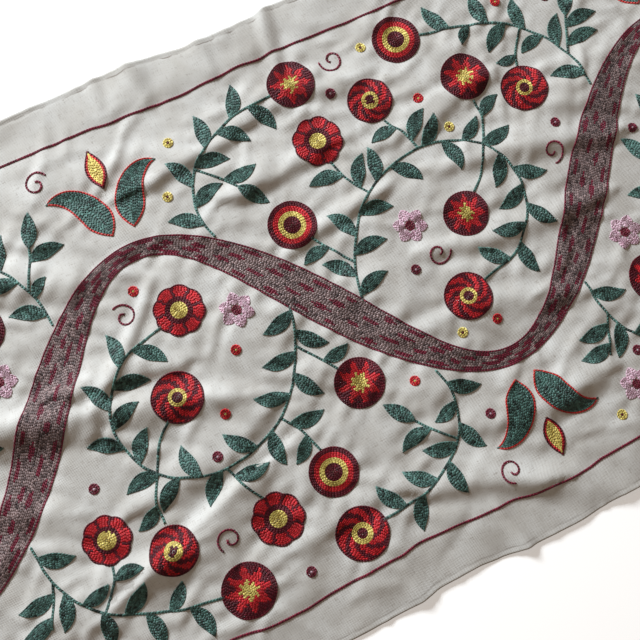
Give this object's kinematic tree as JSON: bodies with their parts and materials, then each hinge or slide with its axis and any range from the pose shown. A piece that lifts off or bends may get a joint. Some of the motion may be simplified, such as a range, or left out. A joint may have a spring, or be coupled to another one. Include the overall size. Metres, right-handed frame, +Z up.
{
  "type": "suzani embroidered textile",
  "caption": "Length of cream cotton with chain-stitch embroidery, lying face up in soft folds, with selvages along its sides and turned hems at its ends.",
  "frame": {"origin": "centre of the cloth's outline, on the surface that it lies on", "axes": "+X along the length, +Y across the width from selvage to selvage, +Z up out of the embroidered face"},
  "size_m": [1, 0.504, 0.0134],
  "materials": {
    "cotton": "matt plain weave"
  },
  "bodies": {
    "root": {"suzani_cloth": "cotton"}
  },
  "joints": []
}
